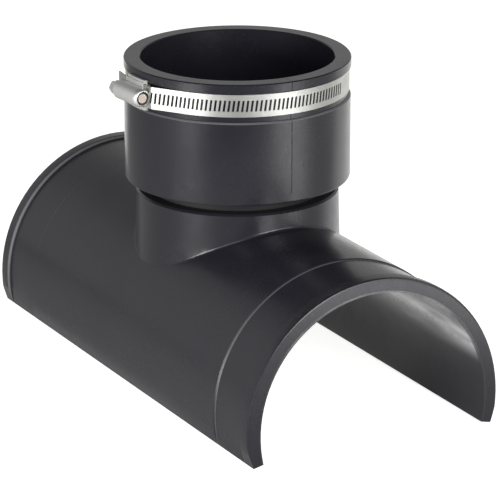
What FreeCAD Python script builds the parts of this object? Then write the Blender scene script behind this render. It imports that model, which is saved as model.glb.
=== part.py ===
import FreeCAD, Part
import Sketcher
import math
import os

# A flexible saddle tee with the worm-drive clamp on its branch.
# The origin is where the axis of the main pipe meets the axis of the branch.
# +X runs along the main pipe, +Z runs up the branch. Lengths are in mm, angles in degrees.

SIZES = {
    # saddle, an arch that wraps a little more than half of the main pipe
    "main_pipe_radius": 70.0,
    "saddle_wall": 7.0,
    "strap_zone_recess": 0.8,
    "strap_zone_slope": 0.9,
    "end_rim_rise": 1.1,
    "end_rim_slope": 1.3,
    "end_rim_width": 9.5,
    "end_edge_round": 1.6,
    "strap_zone_width": 31.0,
    "saddle_half_length": 158.0,
    "saddle_wrap": 206.0,
    "leg_taper_height": 9.0,
    "leg_taper_depth": 1.1,
    "leg_taper_margin": 0.5,
    # neck between saddle and socket
    "neck_foot_radius": 59.0,
    "neck_draft": 1.2,
    "neck_root_depth": 7.5,
    "neck_rise": 11.1,
    "neck_blend": 1.8,
    "neck_edge_chamfer": 1.1,
    # undercut ring below the socket
    "undercut_height": 6.8,
    "undercut_wall": 4.5,
    # socket that takes the branch pipe
    "branch_pipe_radius": 55.0,
    "pipe_ledge": 9.0,
    "socket_wall": 9.2,
    "socket_floor": 6.1,
    "socket_height": 70.0,
    "socket_edge_round": 1.2,
    "lip_rise": 0.2,
    "lip_depth": 5.2,
    "strap_seat_depth": 1.5,
    "strap_seat_height": 16.6,
    "strap_seat_slope": 0.8,
    "facet_turn": 45.0,
    "rim_chamfer": 0.6,
    "cut_run_out": 5.0,
    # strap of the clamp
    "strap_height": 12.7,
    "strap_thickness": 0.65,
    "strap_clearance": 0.08,
    "strap_below_rim": 12.4,
    "clamp_turn": -85.0,
    "start_lift": 1.02,
    "strap_start_angle": 8.0,
    "tail_lift": 3.37,
    "strap_tail_angle": 11.5,
    "strap_tail_free": 12.0,
    "strap_overlap": 0.3,
    # slots that the worm pulls on
    "slot_pitch": 2.54,
    "slot_height": 6.4,
    "slot_width": 1.25,
    "slot_slant": 8.0,
    "slots_in_front": 50.0,
    "slots_in_tail": 13.0,
    "tail_slot_start": -19.5,
    "slot_margin": 0.5,
    # bridge plate under the housing
    "bridge_gap": 0.25,
    "bridge_thickness": 0.75,
    "bridge_half_height": 8.6,
    "bridge_pad_gap": 0.15,
    "bridge_pad_half_height": 6.6,
    "bridge_angle": 17.4,
    "bridge_middle": -1.7,
    # housing, a drawn shell over the worm
    "housing_foot_gap": 0.15,
    "housing_sheet": 0.8,
    "housing_angle": 15.6,
    "housing_wall_half_height": 7.5,
    "housing_cavity_gap": 0.15,
    "housing_cavity_half_height": 6.75,
    "housing_half_length": 12.0,
    "passage_depth": 8.0,
    "barrel_radius": 5.3,
    "barrel_bore_radius": 3.95,
    "barrel_shoulder": 3.0,
    "barrel_lip": 0.25,
    "barrel_back_chamfer": 0.45,
    "bore_run_out": 2.0,
    # screw
    "worm_gap": 0.4,
    "screw_core_radius": 2.9,
    "screw_journal_radius": 3.88,
    "screw_journal_length": 2.2,
    "screw_tip_inset": 0.4,
    "screw_tip_chamfer": 0.3,
    "screw_collar_radius": 4.15,
    "screw_collar_thickness": 0.9,
    "screw_end_gap": 0.15,
    "hex_across_flats": 7.0,
    "hex_height": 5.0,
    "hex_chamfer": 0.9,
    "driver_slot_width": 1.2,
    "driver_slot_depth": 1.8,
    "crown_inset": 0.1,
    "crown_run_out": 0.6,
    "driver_run_out": 1.0,
}

doc = FreeCAD.newDocument("saddle_tee")
sheet = doc.addObject("Spreadsheet::Sheet", "Sizes")
for row, (alias, number) in enumerate(SIZES.items(), start=1):
    sheet.set("A%d" % row, alias)
    sheet.set("B%d" % row, repr(number))
    sheet.setAlias("B%d" % row, alias)
doc.recompute()


class Size:
    """A length or angle that knows both its number and its expression on the sheet."""

    def __init__(self, number, text):
        self.number = number
        self.text = text

    def __add__(self, other):
        return Size(self.number + as_size(other).number, "(%s + %s)" % (self.text, as_size(other).text))

    def __sub__(self, other):
        return Size(self.number - as_size(other).number, "(%s - %s)" % (self.text, as_size(other).text))

    def __mul__(self, other):
        return Size(self.number * as_size(other).number, "(%s * %s)" % (self.text, as_size(other).text))

    def __truediv__(self, other):
        return Size(self.number / as_size(other).number, "(%s / %s)" % (self.text, as_size(other).text))

    def __neg__(self):
        return Size(-self.number, "(0 - %s)" % self.text)


def as_size(value):
    """Turn a plain number into a Size, and leave a Size as it is."""
    return value if isinstance(value, Size) else Size(float(value), repr(float(value)))


def size(alias):
    """Read one named size."""
    return Size(float(sheet.get(alias)), "Sizes.%s" % alias)


def other_leg(long_side, short_side):
    """The second short side of a right-angled triangle."""
    number = math.sqrt(long_side.number ** 2 - short_side.number ** 2)
    return Size(number, "sqrt(%s ^ 2 - %s ^ 2)" % (long_side.text, short_side.text))


def angle_between(short_side, long_side):
    """The angle, in degrees, whose cosine is the short side over the long side."""
    number = math.degrees(math.acos(short_side.number / long_side.number))
    return Size(number, "(acos(%s / %s) / 1 deg)" % (short_side.text, long_side.text))


def along(length, angle):
    """Length times the sine of the angle."""
    number = length.number * math.sin(math.radians(angle.number))
    return Size(number, "(%s * sin(%s * 1 deg))" % (length.text, angle.text))


def across(length, angle):
    """Length times the cosine of the angle."""
    number = length.number * math.cos(math.radians(angle.number))
    return Size(number, "(%s * cos(%s * 1 deg))" % (length.text, angle.text))


ZERO = as_size(0.0)


def new_body(label):
    """A new body that carries the name of its node."""
    body = doc.addObject("PartDesign::Body", label)
    body.Label = label
    return body


def origin_part(body, role):
    """The plane or axis of the body's own origin with this role."""
    for feature in body.Origin.OriginFeatures:
        if feature.Role == role:
            return feature
    raise ValueError("no origin feature called " + role)


def new_sketch(body, name, role, turn=ZERO, out=ZERO):
    """A sketch on an origin plane, turned about the upright axis and moved out along its normal."""
    sketch = body.newObject("Sketcher::SketchObject", name)
    sketch.AttachmentSupport = [(origin_part(body, role), "")]
    sketch.MapMode = "FlatFace"
    upright = FreeCAD.Vector(0, 1, 0)
    sketch.AttachmentOffset = FreeCAD.Placement(FreeCAD.Vector(0, 0, 0), FreeCAD.Rotation(upright, turn.number))
    if turn.number != 0.0:
        sketch.setExpression("AttachmentOffset.Rotation.Angle", turn.text)
    if out.number != 0.0:
        sketch.setExpression("AttachmentOffset.Base.x", along(out, turn).text)
        sketch.setExpression("AttachmentOffset.Base.z", across(out, turn).text)
    return sketch


def draw_outline(sketch, corners):
    """Close a ring of straight lines through the corners and bind every corner to the sheet."""
    places = [(as_size(right), as_size(up)) for right, up in corners]
    points = [FreeCAD.Vector(right.number, up.number, 0) for right, up in places]
    count = len(points)
    for index in range(count):
        sketch.addGeometry(Part.LineSegment(points[index], points[(index + 1) % count]), False)
    for index in range(count):
        sketch.addConstraint(Sketcher.Constraint("Coincident", index, 2, (index + 1) % count, 1))
    for index, (right, up) in enumerate(places):
        bind(sketch, "DistanceX", index, right)
        bind(sketch, "DistanceY", index, up)
    return sketch


def bind(sketch, kind, index, value):
    """Hold the start of a line at a distance from the sketch origin."""
    row = sketch.addConstraint(Sketcher.Constraint(kind, -1, 1, index, 1, value.number))
    sketch.setExpression("Constraints[%d]" % row, value.text)


def draw_circle(sketch, right, up, radius):
    """A circle whose centre and radius are bound to the sheet."""
    centre = FreeCAD.Vector(right.number, up.number, 0)
    sketch.addGeometry(Part.Circle(centre, FreeCAD.Vector(0, 0, 1), radius.number), False)
    for kind, value in (("DistanceX", right), ("DistanceY", up)):
        row = sketch.addConstraint(Sketcher.Constraint(kind, -1, 1, 0, 3, value.number))
        sketch.setExpression("Constraints[%d]" % row, value.text)
    row = sketch.addConstraint(Sketcher.Constraint("Radius", 0, radius.number))
    sketch.setExpression("Constraints[%d]" % row, radius.text)
    return sketch


def block(low_right, high_right, low_up, high_up):
    """The four corners of an upright rectangle."""
    return [(low_right, low_up), (high_right, low_up), (high_right, high_up), (low_right, high_up)]


def turned(body, kind, name, sketch, axis, angle=None):
    """A Revolution or Groove about an axis of its sketch, full or half to each side."""
    feature = body.newObject("PartDesign::" + kind, name)
    feature.Profile = sketch
    feature.ReferenceAxis = (sketch, [axis])
    if angle is None:
        feature.Angle = 360.0
    else:
        feature.Midplane = True
        feature.setExpression("Angle", angle.text)
    doc.recompute()
    return feature


def extruded(body, kind, name, sketch, length, both_ways=False, turned_round=False):
    """A Pad or Pocket of a sketch."""
    feature = body.newObject("PartDesign::" + kind, name)
    feature.Profile = sketch
    if both_ways:
        feature.SideType = "Symmetric"
    feature.Reversed = turned_round
    feature.setExpression("Length", length.text)
    doc.recompute()
    return feature


def ring_of(body, name, feature, count, spacing):
    """Repeat a feature about the upright axis at a fixed spacing."""
    pattern = body.newObject("PartDesign::PolarPattern", name)
    pattern.Originals = [feature]
    pattern.Axis = (origin_part(body, "Z_Axis"), [""])
    pattern.Refine = False
    pattern.Occurrences = int(count.number)
    pattern.setExpression("Occurrences", count.text)
    pattern.setExpression("Angle", (spacing * (count - 1.0)).text)
    body.Tip = pattern
    doc.recompute()
    return pattern


def edges_where(shape, test):
    """Names of the edges whose points all pass the test."""
    names = []
    for number, edge in enumerate(shape.Edges, start=1):
        points = edge.discretize(7)
        if all(test(point) for point in points):
            names.append("Edge%d" % number)
    return names


def softened(body, kind, name, test, length):
    """A Fillet or Chamfer on every edge of the body that passes the test."""
    base = body.Tip
    names = edges_where(base.Shape, test)
    if not names:
        raise ValueError("no edge found for " + name)
    feature = body.newObject("PartDesign::" + kind, name)
    feature.Base = (base, names)
    feature.setExpression("Radius" if kind == "Fillet" else "Size", length.text)
    doc.recompute()
    return feature


def near(number, target, slack=0.05):
    """Whether a number is at its target."""
    return abs(number - target) < slack


def from_branch(point):
    """Distance of a point from the upright axis."""
    return math.hypot(point.x, point.y)


def from_main(point):
    """Distance of a point from the axis along X."""
    return math.hypot(point.y, point.z)


def changed(body, before, least, what):
    """Stop when a feature has altered less volume than it must."""
    now = body.Shape.Volume
    if abs(now - before) < least:
        raise ValueError("%s altered only %.3f" % (what, abs(now - before)))
    return now


# Radii and levels of the tee, each from the size that it follows.
half = size("saddle_half_length")
inner = size("main_pipe_radius")
saddle_out = inner + size("saddle_wall")
zone_out = saddle_out - size("strap_zone_recess")
end_out = saddle_out + size("end_rim_rise")
zone_end = half - size("end_rim_width")
zone_start = zone_end - size("strap_zone_width")
pipe_out = size("branch_pipe_radius")
socket_out = pipe_out + size("socket_wall")
lip_out = socket_out + size("lip_rise")
seat_out = socket_out - size("strap_seat_depth")
bore_out = pipe_out - size("pipe_ledge")
undercut_out = bore_out + size("undercut_wall")
neck_foot = size("neck_foot_radius")
neck_top = neck_foot - size("neck_draft")
neck_root = other_leg(saddle_out, neck_foot) - size("neck_root_depth")
neck_level = saddle_out + size("neck_rise")
socket_low = neck_level + size("undercut_height")
ledge_level = socket_low + size("socket_floor")
rim_level = socket_low + size("socket_height")
seat_top = rim_level - size("lip_depth")
seat_bottom = seat_top - size("strap_seat_height")


def rounded(across_by, up_by):
    """Offsets of the three corners of an edge that is rounded in two facets."""
    turn = size("facet_turn")
    return [
        (across_by, ZERO),
        (across_by - across(across_by, turn), up_by - across(up_by, turn)),
        (ZERO, up_by),
    ]


# The moulded tee, one piece: saddle, neck, undercut and socket.
tee = new_body("tee_body")
profile = new_sketch(tee, "SaddleProfile", "XZ_Plane")
end_round = size("end_edge_round")
near_half = [(half - up, end_out - out) for out, up in rounded(end_round, end_round)]
near_half += [
    (zone_end + size("end_rim_slope"), end_out),
    (zone_end, zone_out),
    (zone_start, zone_out),
    (zone_start - size("strap_zone_slope"), saddle_out),
]
far_half = [(-place, radius) for place, radius in reversed(near_half)]
draw_outline(profile, [(-half, inner), (half, inner)] + near_half + far_half)
turned(tee, "Revolution", "SaddleArch", profile, "H_Axis", size("saddle_wrap"))

# The branch is turned in one go: neck, undercut, socket, strap seat and lip.
neck_chamfer = size("neck_edge_chamfer")
socket_round = size("socket_edge_round")
branch = new_sketch(tee, "BranchProfile", "XZ_Plane")
neck_corners = [(neck_top, neck_level - neck_chamfer), (neck_top - neck_chamfer, neck_level)]
socket_corners = [(socket_out - out, socket_low + up) for out, up in rounded(socket_round, socket_round)]
draw_outline(branch, [(ZERO, neck_root), (neck_foot, neck_root)] + neck_corners + [
    (undercut_out, neck_level),
    (undercut_out, socket_low),
] + socket_corners + [
    (socket_out, seat_bottom - size("strap_seat_slope")),
    (seat_out, seat_bottom),
    (seat_out, seat_top),
    (lip_out, seat_top),
    (lip_out, rim_level),
    (ZERO, rim_level),
])
turned(tee, "Revolution", "Branch", branch, "V_Axis")
volume = tee.Shape.Volume

# A blend runs round the foot of the neck where the two cylinders meet.
draft_number = size("neck_draft").number
softened(tee, "Fillet", "NeckBlend", lambda point: near(from_main(point), saddle_out.number)
         and point.z > neck_root.number and near(from_branch(point), neck_foot.number, draft_number),
         size("neck_blend"))

# The hollow of the saddle takes away the part of the neck that hangs into it.
hollow = new_sketch(tee, "HollowProfile", "XZ_Plane")
run_out = size("cut_run_out")
draw_outline(hollow, block(-(half + run_out), half + run_out, ZERO, inner))
turned(tee, "Groove", "SaddleHollow", hollow, "H_Axis")
volume = changed(tee, volume, 50000.0, "SaddleHollow")

# Bore of the branch, with the ledge that stops the pipe.
bore = new_sketch(tee, "BoreProfile", "XZ_Plane")
draw_outline(bore, [
    (ZERO, neck_root),
    (bore_out, neck_root),
    (bore_out, ledge_level),
    (pipe_out, ledge_level),
    (pipe_out, rim_level + run_out),
    (ZERO, rim_level + run_out),
])
turned(tee, "Groove", "BranchBore", bore, "V_Axis")
volume = changed(tee, volume, 50000.0, "BranchBore")

# The outer lower edges of the two legs draw in a little.
leg_angle = size("saddle_wrap") / 2.0 - 90.0
leg_side = across(saddle_out, leg_angle)
taper_bottom = along(end_out, leg_angle) + size("leg_taper_margin")
taper_in = leg_side - size("leg_taper_depth")
taper_run = saddle_out - taper_in
for side, name in ((1.0, "RightLeg"), (-1.0, "LeftLeg")):
    wedge = new_sketch(tee, name + "Profile", "YZ_Plane")
    draw_outline(wedge, [
        (taper_in * side, -taper_bottom),
        ((taper_in + taper_run * 2.0) * side, -taper_bottom),
        ((taper_in + taper_run * 2.0) * side, size("leg_taper_height") * 2.0 - taper_bottom),
    ])
    extruded(tee, "Pocket", name + "Taper", wedge, (half + run_out) * 2.0, both_ways=True)
    volume = changed(tee, volume, 100.0, name)

# Broken edges of the rim face.
softened(tee, "Chamfer", "RimEdges", lambda point: near(point.z, rim_level.number), size("rim_chamfer"))

# Measures of the clamp, in its own frame: the screw lies at +X, the middle of the strap at z = 0.
strap_in = seat_out + size("strap_clearance")
strap_thick = size("strap_thickness")
strap_low = -size("strap_height") / 2.0
strap_high = size("strap_height") / 2.0
tail_in = strap_in + size("tail_lift")
start_in = strap_in + size("start_lift")
tail_rise = angle_between(strap_in, tail_in)
start_rise = angle_between(strap_in, start_in)
tail_leave = size("strap_tail_angle") + tail_rise
start_leave = -(size("strap_start_angle") + start_rise)

# The strap is a thin ribbon: ring, ramp to the tail, tail under the worm, and the start below the bridge.
strap = new_body("clamp_band")


def ribbon_arc(name, radius, middle, spread):
    """A curved stretch of the ribbon, centred on an angle."""
    sketch = new_sketch(strap, name + "Profile", "XZ_Plane", turn=middle)
    draw_outline(sketch, block(radius, radius + strap_thick, strap_low, strap_high))
    return turned(strap, "Revolution", name, sketch, "V_Axis", spread)


def ribbon_straight(name, radius, angle, length, forward):
    """A straight stretch of the ribbon that leaves its circle at an angle."""
    sketch = new_sketch(strap, name + "Profile", "XZ_Plane", turn=angle)
    draw_outline(sketch, block(radius, radius + strap_thick, strap_low, strap_high))
    return extruded(strap, "Pad", name, sketch, length, turned_round=forward)


ring_spread = start_leave + 360.0 - tail_leave
ring_middle = (start_leave + 360.0 + tail_leave) / 2.0
ribbon_arc("StrapRing", strap_in, ring_middle, ring_spread)
volume = strap.Shape.Volume
ribbon_straight("TailRamp", strap_in, tail_leave, other_leg(tail_in, strap_in) + size("strap_overlap"), False)
volume = changed(strap, volume, 50.0, "TailRamp")
ribbon_arc("TailRun", tail_in, ZERO, size("strap_tail_angle") * 2.0)
volume = changed(strap, volume, 50.0, "TailRun")
ribbon_straight("TailEnd", tail_in, -size("strap_tail_angle"), size("strap_tail_free"), False)
volume = changed(strap, volume, 50.0, "TailEnd")
ribbon_straight("StartRamp", strap_in, start_leave, other_leg(start_in, strap_in) + size("strap_overlap"), True)
volume = changed(strap, volume, 20.0, "StartRamp")
ribbon_arc("StartRun", start_in, ZERO, size("strap_start_angle") * 2.0)
volume = changed(strap, volume, 50.0, "StartRun")

# Slanted slots, first along the front of the ring and then in the tail alone.
lean = along(size("slot_height") / 2.0, size("slot_slant"))
rise = across(size("slot_height") / 2.0, size("slot_slant"))
slot_half = size("slot_width") / 2.0
slot_corners = [
    (-lean - slot_half, -rise),
    (-lean + slot_half, -rise),
    (lean + slot_half, rise),
    (lean - slot_half, rise),
]
front_step = size("slot_pitch") / (strap_in + strap_thick / 2.0) * math.degrees(1.0)
tail_step = size("slot_pitch") / (tail_in + strap_thick / 2.0) * math.degrees(1.0)
slot_reach = tail_in + strap_thick + size("slot_margin")
tail_slot = new_sketch(strap, "TailSlotProfile", "YZ_Plane", turn=size("tail_slot_start"), out=slot_reach)
draw_outline(tail_slot, slot_corners)
first_tail = extruded(strap, "Pocket", "TailSlot", tail_slot, strap_thick + size("slot_margin") * 2.0)
first_tail.Refine = False
ring_of(strap, "TailSlots", first_tail, size("slots_in_tail"), tail_step)
volume = changed(strap, volume, 30.0, "TailSlots")
front_start = size("tail_slot_start") + tail_step * size("slots_in_tail")
front_slot = new_sketch(strap, "FrontSlotProfile", "YZ_Plane", turn=front_start, out=slot_reach)
draw_outline(front_slot, slot_corners)
front_depth = slot_reach - strap_in + size("slot_margin")
first_front = extruded(strap, "Pocket", "FrontSlot", front_slot, front_depth)
first_front.Refine = False
ring_of(strap, "FrontSlots", first_front, size("slots_in_front"), front_step)
volume = changed(strap, volume, 150.0, "FrontSlots")

# The bridge plate lies over the strap's start, with a raised pad that carries the tail.
bridge = new_body("clamp_bridge")
plate_in = start_in + strap_thick + size("bridge_gap")
plate_out = plate_in + size("bridge_thickness")
pad_out = tail_in - size("bridge_pad_gap")
plate = new_sketch(bridge, "BridgeProfile", "XZ_Plane", turn=size("bridge_middle"))
draw_outline(plate, [
    (plate_in, -size("bridge_half_height")),
    (plate_out, -size("bridge_half_height")),
    (plate_out, -size("bridge_pad_half_height")),
    (pad_out, -size("bridge_pad_half_height")),
    (pad_out, size("bridge_pad_half_height")),
    (plate_out, size("bridge_pad_half_height")),
    (plate_out, size("bridge_half_height")),
    (plate_in, size("bridge_half_height")),
])
turned(bridge, "Revolution", "BridgePlate", plate, "V_Axis", size("bridge_angle"))

# The housing: a barrel for the worm on two shoulders with turned-out feet.
housing = new_body("clamp_housing")
cavity_out = tail_in + strap_thick + size("housing_cavity_gap")
screw_line = tail_in + strap_thick + size("screw_core_radius") + size("worm_gap")
mouth = size("housing_half_length")
barrel_out = size("barrel_radius")
shoulder_in = barrel_out - size("barrel_bore_radius") - size("barrel_lip")
back_chamfer = size("barrel_back_chamfer")
barrel = new_sketch(housing, "BarrelProfile", "XY_Plane", turn=as_size(90.0), out=screw_line)
shoulder_round = rounded(shoulder_in, size("barrel_shoulder"))
shoulder = [(barrel_out - out, mouth - up) for out, up in reversed(shoulder_round)]
draw_outline(barrel, [
    (ZERO, -mouth),
    (barrel_out - back_chamfer, -mouth),
    (barrel_out, -mouth + back_chamfer),
] + shoulder + [(ZERO, mouth)])
turned(housing, "Revolution", "Barrel", barrel, "V_Axis")
foot_in = plate_out + size("housing_foot_gap")
foot_out = foot_in + size("housing_sheet")
shoulder_out = cavity_out + size("housing_sheet")
foot_half = size("bridge_half_height")
wall_half = size("housing_wall_half_height")
cavity_half = size("housing_cavity_half_height")
shell = new_sketch(housing, "ShellProfile", "XZ_Plane", turn=size("bridge_middle"))
draw_outline(shell, [
    (foot_in, foot_half),
    (foot_out, foot_half),
    (foot_out, wall_half),
    (shoulder_out, wall_half),
    (shoulder_out, -wall_half),
    (foot_out, -wall_half),
    (foot_out, -foot_half),
    (foot_in, -foot_half),
    (foot_in, -cavity_half),
    (cavity_out, -cavity_half),
    (cavity_out, cavity_half),
    (foot_in, cavity_half),
])
turned(housing, "Revolution", "Shell", shell, "V_Axis", size("housing_angle"))
volume = housing.Shape.Volume
cavity = new_sketch(housing, "CavityProfile", "XZ_Plane")
passage_in = foot_in - size("passage_depth")
draw_outline(cavity, block(passage_in, cavity_out, -cavity_half, cavity_half))
turned(housing, "Groove", "StrapPassage", cavity, "V_Axis")
volume = changed(housing, volume, 100.0, "StrapPassage")
barrel_bore = new_sketch(housing, "BarrelBoreProfile", "XZ_Plane")
draw_circle(barrel_bore, screw_line, ZERO, size("barrel_bore_radius"))
bore_length = (mouth + size("bore_run_out")) * 2.0
extruded(housing, "Pocket", "BarrelBore", barrel_bore, bore_length, both_ways=True)
volume = changed(housing, volume, 500.0, "BarrelBore")

# The screw lies along Y in the clamp's frame and is turned about its own axis.
screw = new_body("clamp_screw")
journal_start = -mouth
journal_end = journal_start + size("screw_journal_length")
collar_face = journal_start - size("screw_end_gap")
head_face = collar_face - size("screw_collar_thickness")
screw_tip = mouth - size("screw_tip_inset")
screw_profile = new_sketch(screw, "ScrewProfile", "XY_Plane")
draw_outline(screw_profile, [
    (ZERO, screw_tip),
    (size("screw_core_radius") - size("screw_tip_chamfer"), screw_tip),
    (size("screw_core_radius"), screw_tip - size("screw_tip_chamfer")),
    (size("screw_core_radius"), journal_end),
    (size("screw_journal_radius"), journal_end),
    (size("screw_journal_radius"), collar_face),
    (size("screw_collar_radius"), collar_face),
    (size("screw_collar_radius"), head_face),
    (ZERO, head_face),
])
turned(screw, "Revolution", "ScrewShaft", screw_profile, "V_Axis")
volume = screw.Shape.Volume
flat_half = size("hex_across_flats") / 2.0
corner = size("hex_across_flats") / (2.0 * math.cos(math.pi / 6.0))
hexagon = new_sketch(screw, "HexProfile", "XZ_Plane", out=-head_face)
draw_outline(hexagon, [
    (corner, ZERO),
    (corner / 2.0, flat_half),
    (-corner / 2.0, flat_half),
    (-corner, ZERO),
    (-corner / 2.0, -flat_half),
    (corner / 2.0, -flat_half),
])
extruded(screw, "Pad", "HexHead", hexagon, size("hex_height"))
volume = changed(screw, volume, 100.0, "HexHead")
head_end = head_face - size("hex_height")
crown = new_sketch(screw, "CrownProfile", "XY_Plane")
crown_start = flat_half - size("crown_inset")
crown_end = corner + size("crown_run_out")
draw_outline(crown, [
    (crown_start, head_end - size("crown_inset")),
    (crown_end, head_end - size("crown_inset")),
    (crown_end, head_end + size("hex_chamfer")),
])
turned(screw, "Groove", "HexCrown", crown, "V_Axis")
volume = changed(screw, volume, 0.1, "HexCrown")
driver = new_sketch(screw, "DriverProfile", "XY_Plane")
driver_half = size("driver_slot_width") / 2.0
driver_floor = head_end + size("driver_slot_depth")
draw_outline(driver, block(-driver_half, driver_half, head_end - size("driver_run_out"), driver_floor))
extruded(screw, "Pocket", "DriverSlot", driver, size("hex_across_flats") * 2.0, both_ways=True)
volume = changed(screw, volume, 8.0, "DriverSlot")

# The clamp is turned to its place round the socket and lifted to the strap seat.
clamp_rotation = FreeCAD.Rotation(FreeCAD.Vector(0, 0, 1), size("clamp_turn").number)
clamp_base = FreeCAD.Vector(0, 0, (rim_level - size("strap_below_rim")).number)
for body in (strap, bridge, housing):
    body.Placement = FreeCAD.Placement(clamp_base, clamp_rotation)
screw_base = clamp_base + clamp_rotation.multVec(FreeCAD.Vector(screw_line.number, 0, 0))
screw.Placement = FreeCAD.Placement(screw_base, clamp_rotation)
doc.recompute()

for item in doc.Objects:
    if "Invalid" in item.State or "Error" in item.State:
        raise ValueError("%s did not build" % item.Name)
nodes = [tee, strap, bridge, housing, screw]
os.makedirs("parts", exist_ok=True)
for body in nodes:
    shape = body.Shape
    if shape.isNull() or not shape.isValid() or len(shape.Solids) != 1:
        raise ValueError("%s is not one sound solid" % body.Label)
    shape.exportStep("parts/%s.step" % body.Label)
    box = shape.BoundBox
    measures = (shape.Volume / 1000.0, box.XLength, box.YLength, box.ZLength)
    print(body.Label, "%.1f cm3, %.1f x %.1f x %.1f" % measures)
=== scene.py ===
"""Dresses the flexible saddle tee and its worm-drive clamp, and sets it in a plain pale studio."""

import logging
import math
from dataclasses import dataclass, field
from enum import Enum

import bmesh
import bpy
from mathutils import Matrix, Vector


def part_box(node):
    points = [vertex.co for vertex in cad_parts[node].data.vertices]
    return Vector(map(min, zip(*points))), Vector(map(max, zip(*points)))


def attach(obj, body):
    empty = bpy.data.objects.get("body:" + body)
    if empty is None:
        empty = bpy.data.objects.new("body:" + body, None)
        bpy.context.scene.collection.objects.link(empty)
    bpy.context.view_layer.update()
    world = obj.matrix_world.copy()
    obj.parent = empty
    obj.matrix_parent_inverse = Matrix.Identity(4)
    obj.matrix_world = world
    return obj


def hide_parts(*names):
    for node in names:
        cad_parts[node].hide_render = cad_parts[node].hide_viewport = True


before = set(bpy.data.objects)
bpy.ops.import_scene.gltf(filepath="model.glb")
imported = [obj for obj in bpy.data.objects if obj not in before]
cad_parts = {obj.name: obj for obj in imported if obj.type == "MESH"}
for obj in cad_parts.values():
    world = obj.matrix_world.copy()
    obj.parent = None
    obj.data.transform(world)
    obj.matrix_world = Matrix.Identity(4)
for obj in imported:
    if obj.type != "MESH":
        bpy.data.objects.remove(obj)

log = logging.getLogger("saddle_tee")

MM = 0.001
Socket = bpy.types.NodeSocket
Value = bpy.types.NodeSocket | float
Colour = tuple[float, float, float, float]
Point = tuple[float, float, float]


class Body(Enum):
    """The moving bodies of the part."""

    TEE = "tee"
    CLAMP = "clamp"
    SCREW = "screw"


class Slot(Enum):
    """The named finishes of the part."""

    MOULDING = "flexible_moulding"
    STRAP = "strap_steel"
    BRIDGE = "bridge_steel"
    HOUSING = "housing_steel"
    SCREW = "screw_steel"


class Shading(Enum):
    """The angle in degrees past which an edge of a smooth piece stays sharp."""

    SOFT = 52.0
    CRISP = 34.0


@dataclass(frozen=True)
class Ramp:
    """A range of values and the range it is mapped to, held at both ends."""

    low: float
    high: float
    start: float = 0.0
    end: float = 1.0
    smooth: bool = True


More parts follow.
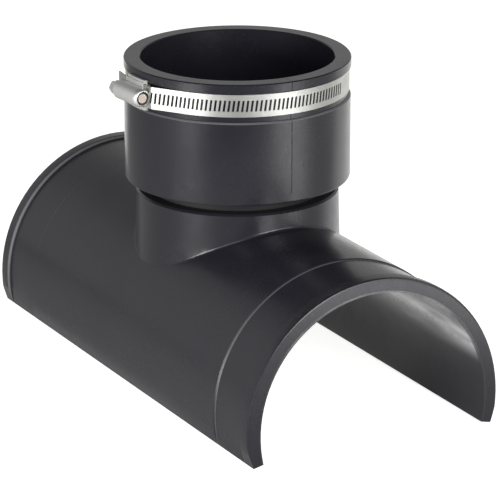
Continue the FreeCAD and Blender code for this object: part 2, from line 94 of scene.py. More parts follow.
class NodeDesk:
    """Places shader nodes and joins their sockets."""

    def __init__(self, tree: bpy.types.NodeTree) -> None:
        """Keep the node tree of a material, world or node group."""
        self.tree = tree

    def add(self, kind: str, **settings: object) -> bpy.types.Node:
        """Place one node.

        Args:
            kind: The node's type name.
            settings: Attributes to set on the node.

        Returns:
            The new node.
        """
        node = self.tree.nodes.new(kind)
        for name, value in settings.items():
            setattr(node, name, value)
        return node

    def feed(self, node: bpy.types.Node, socket: str | int, source: Value | tuple[float, ...]) -> None:
        """Feed an input from another socket, or set its value.

        Args:
            node: The node that receives.
            socket: The name or number of its input.
            source: An output socket, or a plain value.
        """
        target = node.inputs[socket]
        if isinstance(source, bpy.types.NodeSocket):
            self.tree.links.new(source, target)
        else:
            target.default_value = source

    def maths(self, operation: str, *values: Value) -> Socket:
        """Place a Math node.

        Args:
            operation: The name of the operation.
            values: Output sockets or numbers for its inputs.

        Returns:
            The node's output.
        """
        node = self.add("ShaderNodeMath", operation=operation)
        for index, value in enumerate(values):
            self.feed(node, index, value)
        return node.outputs[0]

    def times(self, first: Value, *others: Value) -> Value:
        """Multiply values with one another.

        Args:
            first: The first value.
            others: The values it is multiplied with, in order.

        Returns:
            The product.
        """
        for other in others:
            first = self.maths("MULTIPLY", first, other)
        return first

    def apart(self, value: Value, place: float) -> Socket:
        """Return how far a value is from a place."""
        return self.maths("ABSOLUTE", self.maths("SUBTRACT", value, place))

    def hypotenuse(self, square: Value, other_square: Value) -> Socket:
        """Return the length whose square is the sum of two squares."""
        return self.maths("SQRT", self.maths("ADD", square, other_square))

    def ramp(self, value: Socket, ramp: Ramp) -> Socket:
        """Map a value from one range to another.

        Args:
            value: The socket that is mapped.
            ramp: Both ranges.

        Returns:
            The mapped value.
        """
        node = self.add("ShaderNodeMapRange", interpolation_type="SMOOTHSTEP" if ramp.smooth else "LINEAR")
        for index, number in enumerate((value, ramp.low, ramp.high, ramp.start, ramp.end)):
            self.feed(node, index, number)
        return node.outputs[0]

    def fade_in(self, value: Socket, place: float, width: float) -> Socket:
        """Rise from 0 to 1 over a width past a place."""
        return self.ramp(value, Ramp(place, place + width))

    def fade_out(self, value: Socket, place: float, width: float) -> Socket:
        """Fall from 1 to 0 over a width past a place."""
        return self.ramp(value, Ramp(place, place + width, 1.0, 0.0))

    def noise(self, vector: Socket, scale: Value, detail: float, roughness: float) -> Socket:
        """Place a Noise Texture.

        Args:
            vector: The coordinates it reads.
            scale: Its scale.
            detail: How many octaves it has.
            roughness: How strong the finer octaves are.

        Returns:
            The noise value from 0 to 1.
        """
        node = self.add("ShaderNodeTexNoise")
        inputs = {"Vector": vector, "Scale": scale, "Detail": detail, "Roughness": roughness}
        for label, value in inputs.items():
            self.feed(node, label, value)
        return node.outputs["Fac"]

    def blend(self, share: Value, first: Socket | Colour, second: Socket | Colour) -> Socket:
        """Mix two colours.

        Args:
            share: The share of the second colour.
            first: The first colour.
            second: The second colour.

        Returns:
            The mixed colour.
        """
        node = self.add("ShaderNodeMix", data_type="RGBA")
        first_colour, second_colour, mixed = 6, 7, 2
        self.feed(node, "Factor", share)
        self.feed(node, first_colour, first)
        self.feed(node, second_colour, second)
        return node.outputs[mixed]

    def split(self, vector: Socket) -> tuple[Socket, Socket, Socket]:
        """Take a vector apart.

        Args:
            vector: The vector's socket.

        Returns:
            Its X, Y and Z.
        """
        node = self.add("ShaderNodeSeparateXYZ")
        self.feed(node, 0, vector)
        return node.outputs[0], node.outputs[1], node.outputs[2]

    def join(self, x: Value, y: Value, z: Value) -> Socket:
        """Put a vector together.

        Args:
            x: Its X.
            y: Its Y.
            z: Its Z.

        Returns:
            The vector's socket.
        """
        node = self.add("ShaderNodeCombineXYZ")
        for index, value in enumerate((x, y, z)):
            self.feed(node, index, value)
        return node.outputs[0]


@dataclass
class SharedEffects:
    """The node groups that more than one finish uses. Each is built once."""

    coarse_grain_scale: float = 0.14
    fine_share: float = 0.70
    coarse_share: float = 0.30
    grain_shift: Ramp = Ramp(0.30, 0.70, -1.0, 1.0)
    patch_scale: float = 0.60
    patch_ramp: Ramp = Ramp(0.38, 0.66)
    smear_scale: float = 0.07
    speck_ramp: Ramp = Ramp(0.70, 0.80)
    smear_ramp: Ramp = Ramp(0.48, 0.74)
    speck_share: float = 0.45
    smear_share: float = 0.55
    line_stretch: float = 2.4
    band_stretch: float = 1.1
    band_scale: float = 0.12
    line_share: float = 0.60
    band_share: float = 0.40
    brushed_ramp: Ramp = Ramp(0.30, 0.70)

    def __post_init__(self) -> None:
        """Build every shared group."""
        self.grain = self._grain()
        self.unevenness = self._unevenness()
        self.dust = self._dust()
        self.brushing = self._brushing()

    @staticmethod
    def _start(name: str, inputs: tuple[str, ...],
               outputs: tuple[str, ...]) -> tuple[NodeDesk, dict[str, Socket], bpy.types.Node]:
        """Begin a node group that reads a position.

        Args:
            name: The group's name.
            inputs: Names of its number inputs.
            outputs: Names of its number outputs.

        Returns:
            The desk of the group, its input sockets by name, and its output node.
        """
        group = bpy.data.node_groups.new(name, "ShaderNodeTree")
        group.interface.new_socket("Position", in_out="INPUT", socket_type="NodeSocketVector")
        for label in inputs:
            group.interface.new_socket(label, in_out="INPUT", socket_type="NodeSocketFloat")
        for label in outputs:
            group.interface.new_socket(label, in_out="OUTPUT", socket_type="NodeSocketFloat")
        desk = NodeDesk(group)
        given = {socket.name: socket for socket in desk.add("NodeGroupInput").outputs if socket.name}
        return desk, given, desk.add("NodeGroupOutput")

    def _grain(self) -> bpy.types.NodeTree:
        """Fine grain that a mould or a rolled sheet leaves.

        Returns:
            The group, with a height and a roughness shift.
        """
        desk, given, out = self._start("surface_grain", ("Scale", "Height"), ("Height", "Shift"))
        fine = desk.noise(given["Position"], given["Scale"], detail=3.0, roughness=0.55)
        coarse = desk.noise(given["Position"], desk.times(given["Scale"], self.coarse_grain_scale),
                            detail=2.0, roughness=0.5)
        total = desk.maths("ADD", desk.times(fine, self.fine_share), desk.times(coarse, self.coarse_share))
        desk.feed(out, "Height", desk.times(total, given["Height"]))
        desk.feed(out, "Shift", desk.ramp(coarse, self.grain_shift))
        return desk.tree

    def _unevenness(self) -> bpy.types.NodeTree:
        """Slow swells and dull patches of a soft moulded or pressed wall.

        Returns:
            The group, with a height and a patch mask.
        """
        desk, given, out = self._start("slow_unevenness", ("Scale", "Height"), ("Height", "Patch"))
        swell = desk.noise(given["Position"], given["Scale"], detail=1.5, roughness=0.4)
        patch = desk.noise(given["Position"], desk.times(given["Scale"], self.patch_scale),
                           detail=3.0, roughness=0.6)
        desk.feed(out, "Height", desk.times(swell, given["Height"]))
        desk.feed(out, "Patch", desk.ramp(patch, self.patch_ramp))
        return desk.tree

    def _dust(self) -> bpy.types.NodeTree:
        """A thin scatter of dust specks and handling smears.

        Returns:
            The group, with a mask.
        """
        desk, given, out = self._start("thin_dust", ("Scale", "Amount"), ("Mask",))
        speck = desk.noise(given["Position"], given["Scale"], detail=1.0, roughness=0.5)
        smear = desk.noise(given["Position"], desk.times(given["Scale"], self.smear_scale),
                           detail=4.0, roughness=0.65)
        both = desk.maths("ADD", desk.times(desk.ramp(speck, self.speck_ramp), self.speck_share),
                          desk.times(desk.ramp(smear, self.smear_ramp), self.smear_share))
        desk.feed(out, "Mask", desk.times(both, given["Amount"]))
        return desk.tree

    def _brushing(self) -> bpy.types.NodeTree:
        """Fine lines round the upright axis, as on rolled and polished strip.

        Returns:
            The group, with a height and a tone.
        """
        desk, given, out = self._start("strip_brushing", ("Lines", "Height"), ("Height", "Tone"))
        x, y, z = desk.split(given["Position"])
        turn = desk.maths("ARCTAN2", y, x)
        across, along = desk.maths("COSINE", turn), desk.maths("SINE", turn)
        fine = desk.join(desk.times(across, self.line_stretch), desk.times(along, self.line_stretch),
                         desk.times(z, given["Lines"]))
        wide = desk.join(desk.times(across, self.band_stretch), desk.times(along, self.band_stretch),
                         desk.times(z, desk.times(given["Lines"], self.band_scale)))
        lines = desk.noise(fine, scale=1.0, detail=2.0, roughness=0.6)
        bands = desk.noise(wide, scale=1.0, detail=1.0, roughness=0.5)
        tone = desk.maths("MULTIPLY_ADD", lines, self.line_share, desk.times(bands, self.band_share))
        desk.feed(out, "Height", desk.times(lines, given["Height"]))
        desk.feed(out, "Tone", desk.ramp(tone, self.brushed_ramp))
        return desk.tree


class Finish:
    """What every finish shares: a material with a Principled shader and Object coordinates."""

    name: str

    def begin(self) -> tuple[NodeDesk, bpy.types.Material, bpy.types.Node, Socket]:
        """Start the material.

        Returns:
            The desk, the material, its shader and the position socket.
        """
        material = bpy.data.materials.new(self.name)
        material.use_nodes = True
        desk = NodeDesk(material.node_tree)
        shader = material.node_tree.nodes["Principled BSDF"]
        return desk, material, shader, desk.add("ShaderNodeTexCoord").outputs["Object"]

    @staticmethod
    def use(desk: NodeDesk, group: bpy.types.NodeTree, position: Socket, **values: float) -> dict[str, Socket]:
        """Place a shared effect.

        Args:
            desk: The material's desk.
            group: The shared node group.
            position: The coordinates it reads.
            values: Its number inputs.

        Returns:
            Its outputs by name.
        """
        node = desk.add("ShaderNodeGroup", node_tree=group)
        desk.feed(node, "Position", position)
        for label, value in values.items():
            desk.feed(node, label, value)
        return {socket.name: socket for socket in node.outputs}

    @staticmethod
    def dull(desk: NodeDesk, shader: bpy.types.Node, least: float, layers: tuple[tuple[Value, Value], ...]) -> None:
        """Add up the shader's roughness.

        Args:
            desk: The material's desk.
            shader: The shader that receives the roughness.
            least: The roughness of the plain surface.
            layers: Masks, each with the roughness it adds.
        """
        total: Value = least
        for mask, amount in layers:
            total = desk.maths("MULTIPLY_ADD", mask, amount, total)
        desk.feed(shader, "Roughness", total)

    @staticmethod
    def raise_surface(desk: NodeDesk, shader: bpy.types.Node, heights: tuple[Socket, ...]) -> None:
        """Chain Bump nodes into the shader's normal.

        Args:
            desk: The material's desk.
            shader: The shader that receives the normal.
            heights: Height sockets in metres, in order.
        """
        normal = None
        for height in heights:
            bump = desk.add("ShaderNodeBump")
            desk.feed(bump, "Strength", 1.0)
            desk.feed(bump, "Distance", 1.0)
            desk.feed(bump, "Height", height)
            if normal is not None:
                desk.feed(bump, "Normal", normal)
            normal = bump.outputs[0]
        desk.feed(shader, "Normal", normal)


@dataclass(frozen=True)
class PlaceOnTee:
    """Where a point lies on the tee, as sockets of one material.

    The reach is its distance from the main pipe's axis, the girth its distance from the branch's axis, and the
    rise goes from 0 beside the main pipe to 1 above it.
    """

    x: Socket
    y: Socket
    z: Socket
    reach: Socket
    girth: Socket
    rise: Socket

    @classmethod
    def measure(cls, desk: NodeDesk, position: Socket) -> "PlaceOnTee":
        """Measure a point from both axes.

        Args:
            desk: The material's desk.
            position: The point's coordinates.

        Returns:
            Its place on the tee.
        """
        x, y, z = desk.split(position)
        across = desk.times(y, y)
        reach = desk.hypotenuse(across, desk.times(z, z))
        girth = desk.hypotenuse(desk.times(x, x), across)
        return cls(x, y, z, reach, girth, desk.maths("DIVIDE", z, reach))


@dataclass(frozen=True)
class FlexibleMoulding(Finish):
    """Charcoal flexible moulding: satin, softly uneven, with a parting line, painted highlights on its step edges,
    painted shade in the undercut and a painted sheen on the inside.
    """

    effects: SharedEffects
    name: str = "charcoal_moulding"
    tone: Colour = (0.0130, 0.0130, 0.0185, 1.0)
    worn_tone: Colour = (0.0185, 0.0185, 0.0245, 1.0)
    worn_share: float = 0.40
    # Painted highlight: a light tone on the step and seat edges stands in for light caught by those edges.
    painted_highlight_tone: Colour = (0.1700, 0.1700, 0.1780, 1.0)
    # Painted sheen: a pale tone on the upper inside stands in for its grazing reflection.
    painted_sheen_tone: Colour = (0.8600, 0.8500, 0.8800, 1.0)
    # Near-black tone for the parting line, and painted shade in the undercut ring.
    seam_and_shade_tone: Colour = (0.0050, 0.0050, 0.0060, 1.0)

    roughness: float = 0.24
    patch_dulling: float = 0.05
    grain_dulling: float = 0.015
    dust_dulling: float = 0.10
    highlight_dulling: float = 0.12
    ring_dulling: float = 0.40
    inside_dulling: Ramp = Ramp(0.0, 0.60, 0.22, -0.03)
    specular_level: float = 0.48

    grain_scale: float = 1500.0
    grain_height: float = 0.003 * MM
    swell_scale: float = 17.0
    swell_height: float = 0.40 * MM
    dust_scale: float = 520.0
    dust_amount: float = 0.03

    seam_half_width: float = 0.28 * MM
    seam_depth: float = 0.12 * MM
    seam_level: float = 99.5 * MM
    seam_reach: float = 55.4 * MM
    seam_share: float = 0.85

    step_places: tuple[float, float] = (117.6 * MM, 149.2 * MM)
    step_half_width: float = 0.75 * MM
    step_share: Ramp = Ramp(-0.10, 0.10, 0.95, 0.50)
    seat_level: float = 142.70 * MM
    seat_reach: float = 62.9 * MM
    seat_edge: Ramp = Ramp(0.45 * MM, 0.75 * MM, 0.75, 0.0)

    ring_low: float = 88.2 * MM
    ring_high: float = 95.0 * MM
    ring_inside: float = 49.0 * MM
    ring_outside: float = 62.6 * MM
    shell_inside: float = 70.8 * MM
    shell_outside: float = 75.6 * MM
    level_fade: float = 0.3 * MM
    wall_fade: float = 0.5 * MM
    seat_fade: float = 0.2 * MM
    seam_fade: float = 0.4 * MM

    streak_turn: Point = (math.radians(0.0), math.radians(38.0), math.radians(-28.0))
    streak_scale: Point = (12.0, 52.0, 52.0)
    streak_height: float = 0.24 * MM
    sheen_length: Ramp = Ramp(-150.0 * MM, 85.0 * MM)
    sheen_stop: float = 155.5 * MM
    sheen_rise: Ramp = Ramp(0.24, 0.56)
    sheen_streak: Ramp = Ramp(0.40, 0.58, 0.30, 1.0)
    film_rise: Ramp = Ramp(0.25, 0.52)
    film_streak: Ramp = Ramp(0.36, 0.60, 0.45, 1.0)
    film_roughness: float = 0.20

    def _seam(self, desk: NodeDesk, at: PlaceOnTee) -> Socket:
        """Mark the thin parting line on the outside of the socket.

        Args:
            desk: The material's desk.
            at: The place on the tee.

        Returns:
            The mask of the line.
        """
        line = desk.fade_out(desk.maths("ABSOLUTE", at.y), 0.0, self.seam_half_width)
        above = desk.fade_in(at.z, self.seam_level, MM)
        return desk.times(line, above, desk.fade_in(at.girth, self.seam_reach, self.seam_fade))

    def _painted_highlights(self, desk: NodeDesk, at: PlaceOnTee) -> Socket:
        """Mark the edges of the saddle's strap zones, of its end rims and of the clamp's seat, where a lighter tone
        is painted as a highlight.

        Args:
            desk: The material's desk.
            at: The place on the tee.

        Returns:
            The mask of the painted edge highlights.
        """
        along = desk.maths("ABSOLUTE", at.x)
        steps = desk.maths("MAXIMUM", *(desk.fade_out(desk.apart(along, place), 0.0, self.step_half_width)
                                        for place in self.step_places))
        outside = desk.fade_in(at.reach, self.shell_outside, self.level_fade)
        steps = desk.times(steps, outside, desk.ramp(at.x, self.step_share))
        seat = desk.times(desk.ramp(desk.apart(at.z, self.seat_level), self.seat_edge),
                          desk.fade_in(at.girth, self.seat_reach, self.seat_fade))
        return desk.maths("MAXIMUM", steps, seat)

    def _undercut_shade(self, desk: NodeDesk, at: PlaceOnTee) -> Socket:
        """Mark the undercut ring below the socket, where the moulding is dull and a near-black tone is painted as
        shade.

        Args:
            desk: The material's desk.
            at: The place on the tee.

        Returns:
            The mask of the painted shade in the ring.
        """
        above = desk.fade_in(at.z, self.ring_low - self.level_fade, self.level_fade)
        below = desk.fade_out(at.z, self.ring_high, self.level_fade)
        outer = desk.fade_out(at.girth, self.ring_outside, self.wall_fade)
        inner = desk.fade_in(at.girth, self.ring_inside - self.wall_fade, self.wall_fade)
        return desk.times(above, below, outer, inner)

    def _streaks(self, desk: NodeDesk, position: Socket) -> Socket:
        """Slanting swells that the core of the mould leaves on the inside of the saddle.

        Args:
            desk: The material's desk.
            position: The coordinates.

        Returns:
            A value from 0 to 1.
        """
        turned = desk.add("ShaderNodeMapping")
        desk.feed(turned, "Vector", position)
        desk.feed(turned, "Rotation", self.streak_turn)
        desk.feed(turned, "Scale", self.streak_scale)
        return desk.noise(turned.outputs[0], scale=1.0, detail=2.0, roughness=0.45)

    def _painted_sheen(self, desk: NodeDesk, at: PlaceOnTee, streaks: Socket) -> Socket:
        """Mark the painted sheen on the inside: a pale tone, strongest near the two ends and high up, that stands
        in for the grazing reflection there.

        Args:
            desk: The material's desk.
            at: The place on the tee.
            streaks: The slanting streaks of the inside.

        Returns:
            The mask of the painted sheen.
        """
        along = desk.maths("ABSOLUTE", at.x)
        length = desk.times(desk.ramp(along, self.sheen_length), desk.fade_out(along, self.sheen_stop, MM))
        return desk.times(length, desk.ramp(at.rise, self.sheen_rise), desk.ramp(streaks, self.sheen_streak))

    def make(self) -> bpy.types.Material:
        """Build the material.

        Returns:
            The finished material.
        """
        desk, material, shader, position = self.begin()
        grain = self.use(desk, self.effects.grain, position, Scale=self.grain_scale, Height=self.grain_height)
        swell = self.use(desk, self.effects.unevenness, position, Scale=self.swell_scale, Height=self.swell_height)
        dust = self.use(desk, self.effects.dust, position, Scale=self.dust_scale, Amount=self.dust_amount)
        at = PlaceOnTee.measure(desk, position)
        inside = desk.fade_out(at.reach, self.shell_inside, self.wall_fade)
        seam, painted_highlights, undercut_shade = self._seam(desk, at), self._painted_highlights(desk, at), self._undercut_shade(desk, at)
        streaks = self._streaks(desk, position)

        worn = desk.maths("MAXIMUM", dust["Mask"], desk.times(swell["Patch"], self.worn_share))
        colour = desk.blend(worn, self.tone, self.worn_tone)
        # Painted highlights along the step and seat edges.
        colour = desk.blend(painted_highlights, colour, self.painted_highlight_tone)
        # Painted sheen on the upper inside of the saddle.
        colour = desk.blend(desk.times(self._painted_sheen(desk, at, streaks), inside), colour, self.painted_sheen_tone)
        # Near-black parting line, and painted shade in the undercut ring.
        seam_and_shade = desk.maths("MAXIMUM", desk.times(seam, self.seam_share), undercut_shade)
        desk.feed(shader, "Base Color", desk.blend(seam_and_shade, colour, self.seam_and_shade_tone))

        film = desk.times(desk.ramp(at.rise, self.film_rise), desk.ramp(streaks, self.film_streak), inside)
        desk.feed(shader, "Coat Weight", film)
        desk.feed(shader, "Coat Roughness", self.film_roughness)
        desk.feed(shader, "Specular IOR Level", self.specular_level)
        self.dull(desk, shader, self.roughness, (
            (swell["Patch"], self.patch_dulling),
            (grain["Shift"], self.grain_dulling),
            (dust["Mask"], self.dust_dulling),
            (painted_highlights, self.highlight_dulling),
            (undercut_shade, self.ring_dulling),
            (inside, desk.ramp(at.rise, self.inside_dulling)),
        ))
        self.raise_surface(desk, shader, (
            swell["Height"],
            desk.times(streaks, inside, self.streak_height),
            desk.times(seam, -self.seam_depth),
            grain["Height"],
        ))
        return material


@dataclass(frozen=True)
class RolledSteel(Finish):
    """Stainless steel of the clamp: bright, brushed round the strap or dulled by pressing."""

    effects: SharedEffects
    name: str
    tone: Colour
    shade: float
    roughness: float
    brushing: float
    denting: float
    soiling: float
    tip_tone: Colour | None = None
    tip_from: float = 3.0 * MM
    dust_tone: Colour = (0.42, 0.40, 0.37, 1.0)

    brushing_lines: float = 7000.0
    brushing_height: float = 0.004 * MM
    grain_scale: float = 2600.0
    grain_height: float = 0.006 * MM
    dent_scale: float = 160.0
    dent_height: float = 0.05 * MM
    dust_scale: float = 900.0

    patch_share: float = 0.45
    brushed_share: float = 0.50
    dust_share: float = 0.50
    patch_dulling: float = 0.06
    brushed_dulling: float = 0.05
    dust_dulling: float = 0.18

    def make(self) -> bpy.types.Material:
        """Build the material.

        Returns:
            The finished material.
        """
        desk, material, shader, position = self.begin()
        brushed = self.use(desk, self.effects.brushing, position, Lines=self.brushing_lines,
                           Height=self.brushing_height * self.brushing)
        grain = self.use(desk, self.effects.grain, position, Scale=self.grain_scale, Height=self.grain_height)
        dents = self.use(desk, self.effects.unevenness, position, Scale=self.dent_scale,
                         Height=self.dent_height * self.denting)
        dust = self.use(desk, self.effects.dust, position, Scale=self.dust_scale, Amount=self.soiling)

        shaded = (*(channel * self.shade for channel in self.tone[:3]), 1.0)
        share = desk.maths("MAXIMUM", desk.times(dents["Patch"], self.patch_share),
                           desk.times(brushed["Tone"], self.brushed_share * self.brushing))
        colour = desk.blend(share, self.tone, shaded)
        if self.tip_tone is not None:
            x, _, _ = desk.split(position)
            colour = desk.blend(desk.fade_in(x, self.tip_from, MM), colour, self.tip_tone)
        soiled = desk.blend(desk.times(dust["Mask"], self.dust_share), colour, self.dust_tone)
        desk.feed(shader, "Base Color", soiled)
        desk.feed(shader, "Metallic", 1.0)
        self.dull(desk, shader, self.roughness, (
            (brushed["Tone"], self.brushed_dulling * self.brushing),
            (dents["Patch"], self.patch_dulling),
            (dust["Mask"], self.dust_dulling),
        ))
        self.raise_surface(desk, shader, (dents["Height"], brushed["Height"], grain["Height"]))
        return material


class Workshop:
    """Small jobs that several classes share."""

    @staticmethod
    def add(name: str, data: bpy.types.ID) -> bpy.types.Object:
        """Make an object and link it to the scene.

        Args:
            name: The object's name.
            data: Its mesh, light or camera.

        Returns:
            The new object.
        """
        thing = bpy.data.objects.new(name, data)
        bpy.context.scene.collection.objects.link(thing)
        return thing

    @staticmethod
    def finish_mesh(bm: bmesh.types.BMesh, name: str, shading: Shading) -> bpy.types.Object:
        """Turn a bmesh into a smooth piece whose sharp edges stay sharp.

        Args:
            bm: The mesh, which is freed.
            name: The piece's name.
            shading: Which of its edges stay sharp.

        Returns:
            The new piece.
        """
        for face in bm.faces:
            face.smooth = True
        for edge in bm.edges:
            edge.smooth = edge.calc_face_angle(0.0) < math.radians(shading.value)
        mesh = bpy.data.meshes.new(name)
        bm.to_mesh(mesh)
        bm.free()
        piece = Workshop.add(name, mesh)
        weighted = piece.modifiers.new("even_normals", "WEIGHTED_NORMAL")
        weighted.keep_sharp = True
        weighted.weight = 80
        return piece

    @staticmethod
    def dress(piece: bpy.types.Object, material: bpy.types.Material, body: Body, slot: Slot) -> None:
        """Give a piece its material and attach it to its body.

        Args:
            piece: The piece.
            material: Its material.
            body: The body it rides on.
            slot: Not used.
        """
        piece.data.materials.clear()
        piece.data.materials.append(material)
        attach(piece, body.value)


@dataclass(frozen=True)
class SmoothCopy:
    """A smooth, merged copy of one solid, which stands for it."""

    node: str
    name: str
    body: Body
    slot: Slot
    shading: Shading
    merge_distance: float = 0.002 * MM

    def stand_in(self, material: bpy.types.Material) -> bpy.types.Object:
        """Build the copy, dress it and let it stand for its solid.

        Args:
            material: The copy's material.

        Returns:
            The new piece.
        """
        bm = bmesh.new()
        bm.from_mesh(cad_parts[self.node].data)
        bmesh.ops.remove_doubles(bm, verts=bm.verts[:], dist=self.merge_distance)
        bmesh.ops.dissolve_degenerate(bm, edges=bm.edges[:], dist=self.merge_distance)
        piece = Workshop.finish_mesh(bm, self.name, self.shading)
        Workshop.dress(piece, material, self.body, self.slot)
        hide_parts(self.node)
        return piece


@dataclass
class MouldedTee:
    """The moulded tee: saddle, neck, undercut and socket in one flexible piece."""

    finish: FlexibleMoulding
    copy: SmoothCopy = SmoothCopy("tee_body", "moulded_tee", Body.TEE, Slot.MOULDING, Shading.CRISP)

    def build(self) -> list[bpy.types.Object]:
        """Build and dress the tee, and return its pieces."""
        return [self.copy.stand_in(self.finish.make())]


@dataclass
class WormClamp:
    """The clamp on the branch: slotted strap, bridge plate, housing and screw."""

    effects: SharedEffects
    copies: tuple[SmoothCopy, ...] = (
        SmoothCopy("clamp_band", "slotted_strap", Body.CLAMP, Slot.STRAP, Shading.CRISP),
        SmoothCopy("clamp_bridge", "bridge_plate", Body.CLAMP, Slot.BRIDGE, Shading.CRISP),
        SmoothCopy("clamp_housing", "worm_housing", Body.CLAMP, Slot.HOUSING, Shading.SOFT),
        SmoothCopy("clamp_screw", "hex_screw", Body.SCREW, Slot.SCREW, Shading.CRISP),
    )
    turn: float = math.radians(-85.0)
    level: float = 152.5 * MM
    screw_axis_radius: float = 70.1 * MM
    thread_root: float = 2.75 * MM
    thread_crest: float = 3.2 * MM
    thread_foot_half: float = 0.62 * MM
    thread_tip_half: float = 0.30 * MM
    thread_pitch: float = 2.54 * MM
    thread_start: float = -9.0 * MM
    thread_turns: int = 7
    thread_steps: int = 20

    def _steels(self) -> dict[Slot, bpy.types.Material]:
        """Make the clamp's steels.

        Returns:
            The materials by their slots.
        """
        steels = {
            Slot.STRAP: RolledSteel(
                self.effects, "strap_steel_finish", tone=(0.520, 0.522, 0.502, 1.0), shade=0.84,
                roughness=0.38, brushing=1.0, denting=0.0, soiling=0.08),
            Slot.BRIDGE: RolledSteel(
                self.effects, "bridge_steel_finish", tone=(0.740, 0.742, 0.725, 1.0), shade=0.86,
                roughness=0.44, brushing=0.5, denting=0.5, soiling=0.15),
            Slot.HOUSING: RolledSteel(
                self.effects, "housing_steel_finish", tone=(0.800, 0.802, 0.785, 1.0), shade=0.86,
                roughness=0.48, brushing=0.15, denting=0.6, soiling=0.20),
            Slot.SCREW: RolledSteel(
                self.effects, "screw_steel_finish", tone=(0.700, 0.702, 0.670, 1.0), shade=0.80,
                roughness=0.42, brushing=0.1, denting=0.6, soiling=0.25, tip_tone=(0.440, 0.390, 0.340, 1.0)),
        }
        return {slot: steel.make() for slot, steel in steels.items()}

    def _rank(self, face: bmesh.types.BMFace) -> int:
        """Rank a face of the thread, so that the faces have the same order on each run.

        Args:
            face: The face, whose corners are numbered.

        Returns:
            A number that no other face of the thread has.
        """
        count = 4 * (self.thread_turns * self.thread_steps + 1)
        first, second, third = sorted(vert.index for vert in face.verts)[:3]
        return (first * count + second) * count + third

    def _thread(self) -> bpy.types.Object:
        """Turn the worm's thread round the screw's core, and move it to its place on the socket.

        Returns:
            The thread.
        """
        bm = bmesh.new()
        outline = ((self.thread_root, -self.thread_foot_half), (self.thread_crest, -self.thread_tip_half),
                   (self.thread_crest, self.thread_tip_half), (self.thread_root, self.thread_foot_half))
        section = bm.faces.new([bm.verts.new((self.screw_axis_radius + out, self.thread_start + along, 0.0))
                                for out, along in outline])
        bmesh.ops.spin(bm, geom=[section] + section.edges[:] + section.verts[:],
                       cent=(self.screw_axis_radius, 0.0, 0.0), axis=(0.0, 1.0, 0.0),
                       dvec=(0.0, self.thread_pitch / self.thread_steps, 0.0),
                       angle=2.0 * math.pi * self.thread_turns, steps=self.thread_turns * self.thread_steps,
                       use_merge=False, use_duplicate=False)
        bmesh.ops.recalc_face_normals(bm, faces=bm.faces[:])
        bm.verts.index_update()
        bm.faces.sort(key=self._rank)
        place = Matrix.Translation(Vector((0.0, 0.0, self.level))) @ Matrix.Rotation(self.turn, 4, "Z")
        bmesh.ops.transform(bm, matrix=place, verts=bm.verts[:])
        return Workshop.finish_mesh(bm, "worm_thread", Shading.CRISP)

    def build(self) -> list[bpy.types.Object]:
        """Build and dress the clamp.

        Returns:
            Its pieces.
        """
        steels = self._steels()
        pieces = [copy.stand_in(steels[copy.slot]) for copy in self.copies]
        thread = self._thread()
        Workshop.dress(thread, steels[Slot.SCREW], Body.SCREW, Slot.SCREW)
        return pieces + [thread]


@dataclass(frozen=True)
class Lamp:
    """What every lamp of the studio has."""

    name: str
    place: Point
    aim: Point
    power: float

    def hang(self, data: bpy.types.Light) -> None:
        """Place the lamp and turn it to its aim.

        Args:
            data: The light it carries.
        """
        data.energy = self.power
        lamp = Workshop.add(self.name, data)
        lamp.location = self.place
        lamp.rotation_euler = (Vector(self.aim) - Vector(self.place)).to_track_quat("-Z", "Y").to_euler()


@dataclass(frozen=True)
class SoftLamp(Lamp):
    """A large soft lamp."""

    width: float
    height: float

    def build(self) -> None:
        """Make the lamp and hang it."""
        data = bpy.data.lights.new(self.name, "AREA")
        data.shape = "RECTANGLE"
        data.size, data.size_y = self.width, self.height
        self.hang(data)


@dataclass(frozen=True)
class FloorSpot(Lamp):
    """A soft spot that lights a patch of the floor beside the part, and not the part."""

    cone: float
    softness: float = 1.0
    source_radius: float = 0.06

    def build(self) -> None:
        """Make the spot and hang it."""
        data = bpy.data.lights.new(self.name, "SPOT")
        data.spot_size, data.spot_blend = math.radians(self.cone), self.softness
        data.shadow_soft_size = self.source_radius
        self.hang(data)


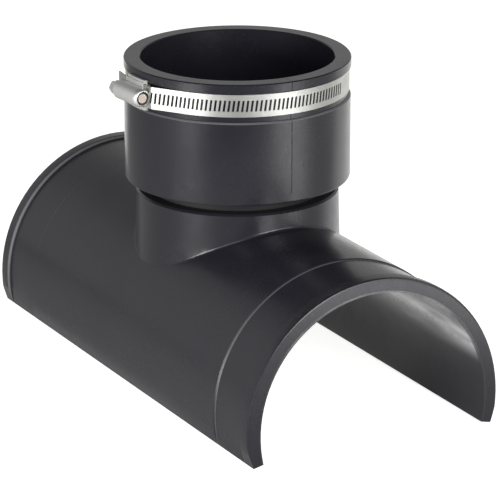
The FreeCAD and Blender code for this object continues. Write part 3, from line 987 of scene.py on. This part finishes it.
@dataclass
class Studio:
    """The floor, the soft light, the white surround and the camera."""

    floor_level: float
    floor_half_size: float = 3.0
    floor_cells: int = 4
    floor_edge: Point = (0.354, -0.310, 0.0)
    floor_tone: Colour = (0.80, 0.80, 0.79, 1.0)
    white: Colour = (1.0, 1.0, 0.985, 1.0)

    floor_glow: float = 0.86
    mirrored_glow: float = 0.95
    mirrored_side: Ramp = Ramp(-0.095, -0.020, 0.02, 1.0)
    mirrored_front: Ramp = Ramp(0.020, 0.120, 1.0, 0.22)
    tunnel_length: Ramp = Ramp(0.128, 0.158, 1.0, 0.0)
    tunnel_width: Ramp = Ramp(0.040, 0.070, 1.0, 0.0)
    tunnel_shadow_share: float = 0.30

    ambient: float = 0.28
    surround: float = 0.54
    ceiling: Ramp = Ramp(0.37, 0.67, 1.0, 0.12)
    horizon: Ramp = Ramp(-0.06, 0.0, 0.10, 1.0)

    focal_pixels: float = 3598.3
    frame_pixels: float = 500.0
    sensor_width: float = 36.0
    clipping: tuple[float, float] = (0.05, 30.0)
    camera_place: Point = (1.7322687, -0.9218506, 0.7007723)
    camera_right: Point = (0.4727335, 0.8812049, 0.0009824)
    camera_up: Point = (-0.2784371, 0.1483132, 0.9489341)
    camera_back: Point = (0.8360597, -0.4488665, 0.3154728)

    middle: Point = (0.0, 0.0, 0.06)
    lamps: list[Lamp] = field(init=False)

    def __post_init__(self) -> None:
        """Choose the lamps."""
        self.lamps = [
            FloorSpot("right_floor_spot", (0.80, 0.36, 0.80), (0.47, 0.21, -0.02), power=150.0, cone=27.0),
            SoftLamp("front_softbox", (1.43, 0.04, 0.50), self.middle, power=12.0, width=0.60, height=0.60),
            SoftLamp("right_softbox", (1.02, 0.41, 0.12), self.middle, power=2.0, width=0.40, height=0.46),
            SoftLamp("left_softbox", (0.30, -1.06, 0.15), (0.10, 0.0, 0.04), power=8.5, width=0.45, height=0.36),
            SoftLamp("tall_strip", (0.73, -1.05, 0.85), self.middle, power=3.0, width=0.20, height=1.20),
        ]

    @staticmethod
    def _rays(desk: NodeDesk) -> tuple[Socket, Socket, Socket]:
        """Tell apart the kinds of rays that arrive.

        Args:
            desk: The desk of the material or world.

        Returns:
            Marks for camera rays, for mirrored or refracted rays, and for diffuse rays.
        """
        path = desk.add("ShaderNodeLightPath").outputs
        mirrored = desk.maths("MAXIMUM", path["Is Glossy Ray"], path["Is Transmission Ray"])
        return path["Is Camera Ray"], mirrored, path["Is Diffuse Ray"]

    def _floor_material(self) -> bpy.types.Material:
        """Make the floor's finish, which is white to the camera and graded for mirrored rays: dimmer to the left
        and towards the front, with a painted shadow under the saddle's tunnel.

        Returns:
            The material.
        """
        material = bpy.data.materials.new("pale_floor")
        material.use_nodes = True
        nodes = material.node_tree.nodes
        desk, shader = NodeDesk(material.node_tree), nodes["Principled BSDF"]
        desk.feed(shader, "Base Color", self.floor_tone)
        desk.feed(shader, "Roughness", 1.0)
        desk.feed(shader, "Specular IOR Level", 0.0)

        camera, mirrored, _ = self._rays(desk)
        x, y, _ = desk.split(desk.add("ShaderNodeTexCoord").outputs["Object"])
        open_floor = desk.times(desk.ramp(y, self.mirrored_side), desk.ramp(x, self.mirrored_front))
        # Painted shadow: the floor's glow for mirrored rays is dimmed under the saddle's tunnel.
        tunnel_shadow = desk.times(desk.ramp(desk.maths("ABSOLUTE", x), self.tunnel_length),
                           desk.ramp(desk.maths("ABSOLUTE", y), self.tunnel_width))
        level = desk.ramp(tunnel_shadow, Ramp(0.0, 1.0, self.mirrored_glow, self.mirrored_glow * self.tunnel_shadow_share,
                                      smooth=False))
        strength = desk.maths("ADD", desk.times(mirrored, desk.times(open_floor, level)),
                              desk.times(camera, self.floor_glow))
        glow = desk.add("ShaderNodeEmission")
        desk.feed(glow, "Color", self.white)
        desk.feed(glow, "Strength", strength)
        both = desk.add("ShaderNodeAddShader")
        desk.feed(both, 0, shader.outputs[0])
        desk.feed(both, 1, glow.outputs[0])
        desk.feed(nodes["Material Output"], "Surface", both.outputs[0])
        return material

    def _floor(self) -> None:
        """Lay the pale floor, which keeps the object's shadow and ends a little way in front of the part."""
        bm = bmesh.new()
        bmesh.ops.create_grid(bm, x_segments=self.floor_cells, y_segments=self.floor_cells,
                              size=self.floor_half_size)
        edge = Vector(self.floor_edge)
        bmesh.ops.bisect_plane(bm, geom=bm.verts[:] + bm.edges[:] + bm.faces[:], plane_co=edge,
                               plane_no=edge.normalized(), clear_outer=True)
        bmesh.ops.translate(bm, verts=bm.verts[:], vec=(0.0, 0.0, self.floor_level))
        mesh = bpy.data.meshes.new("studio_floor")
        bm.to_mesh(mesh)
        bm.free()
        mesh.materials.append(self._floor_material())
        floor = Workshop.add("studio_floor", mesh)

    def _surround(self) -> None:
        """Hang a surround that is white to the camera, and dim above and below for mirrored rays."""
        world = bpy.data.worlds.new("studio_surround")
        world.use_nodes = True
        bpy.context.scene.world = world
        desk, back = NodeDesk(world.node_tree), world.node_tree.nodes["Background"]
        camera, mirrored, diffuse = self._rays(desk)
        _, _, height = desk.split(desk.add("ShaderNodeTexCoord").outputs["Generated"])
        seen = desk.times(desk.ramp(height, self.ceiling), desk.ramp(height, self.horizon), self.surround)
        lit = desk.maths("ADD", desk.times(mirrored, seen), desk.times(diffuse, self.ambient))
        desk.feed(back, "Color", self.white)
        desk.feed(back, "Strength", desk.maths("MAXIMUM", camera, lit))

    def _camera(self) -> None:
        """Place the camera at the photograph's viewing angle."""
        data = bpy.data.cameras.new("studio_camera")
        data.sensor_width = self.sensor_width
        data.lens = self.focal_pixels / self.frame_pixels * data.sensor_width
        data.clip_start, data.clip_end = self.clipping
        camera = Workshop.add("studio_camera", data)
        axes = Matrix((self.camera_right, self.camera_up, self.camera_back)).transposed().to_4x4()
        camera.matrix_world = Matrix.Translation(Vector(self.camera_place)) @ axes
        bpy.context.scene.camera = camera

    def build(self) -> None:
        """Build the whole studio."""
        self._floor()
        self._surround()
        for lamp in self.lamps:
            lamp.build()
        self._camera()
        bpy.context.scene.view_settings.view_transform = "Standard"


def main() -> None:
    """Build the part and its studio."""
    logging.basicConfig(level=logging.INFO, format="%(message)s")
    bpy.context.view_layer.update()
    effects = SharedEffects()
    for assembly in (MouldedTee(FlexibleMoulding(effects)), WormClamp(effects)):
        for piece in assembly.build():
            log.info("built %s with %d faces", piece.name, len(piece.data.polygons))
    floor_gap = 0.05 * MM
    Studio(floor_level=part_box("tee_body")[0][2] - floor_gap).build()
    bpy.context.view_layer.update()


if __name__ == "__main__":
    main()
